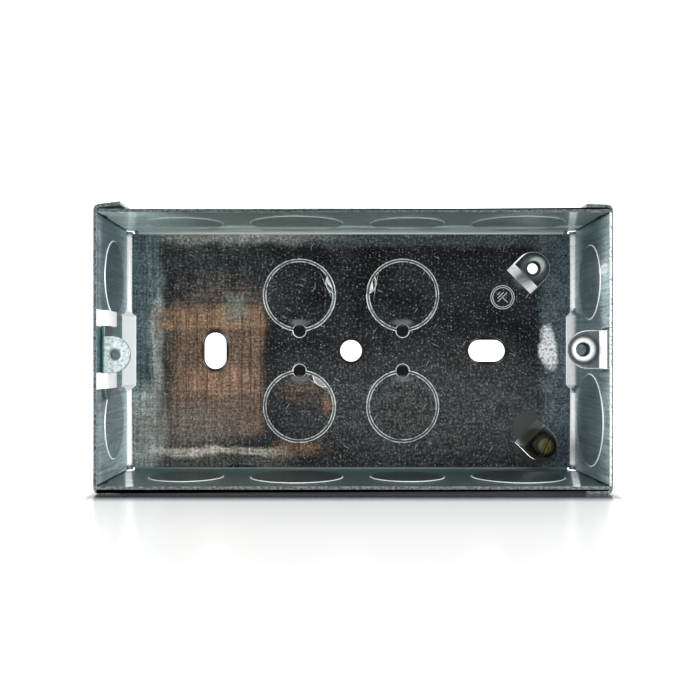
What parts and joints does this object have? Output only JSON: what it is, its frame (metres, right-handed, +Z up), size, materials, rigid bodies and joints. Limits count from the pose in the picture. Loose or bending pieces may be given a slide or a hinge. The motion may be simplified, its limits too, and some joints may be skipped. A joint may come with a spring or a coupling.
{
  "type": "metal back box",
  "caption": "Flush metal back box folded from galvanised sheet, with semi-pierced knockouts, a fixed and a sliding cover lug, and raised earth tabs with a brass screw.",
  "frame": {"origin": "centre of the box's width and depth, at the underside of the lower corner tabs that it stands on", "axes": "+X to the right along the long side, +Y from the open face towards the back, +Z up with the box standing on a long side"},
  "size_m": [0.132, 0.035, 0.0744],
  "materials": {
    "galvanised_steel": "satin",
    "zinc_plated_steel": "satin",
    "brass": "satin"
  },
  "bodies": {
    "box": {"box_body": "galvanised_steel", "earth_screw": "brass"},
    "sliding_lug": {"adjustable_lug": "zinc_plated_steel"}
  },
  "joints": [
    {"name": "lug_slide", "type": "slide", "parent": "box", "child": "sliding_lug", "axis": [0, 0, 1], "range_m": [0, 0.0026]}
  ]
}
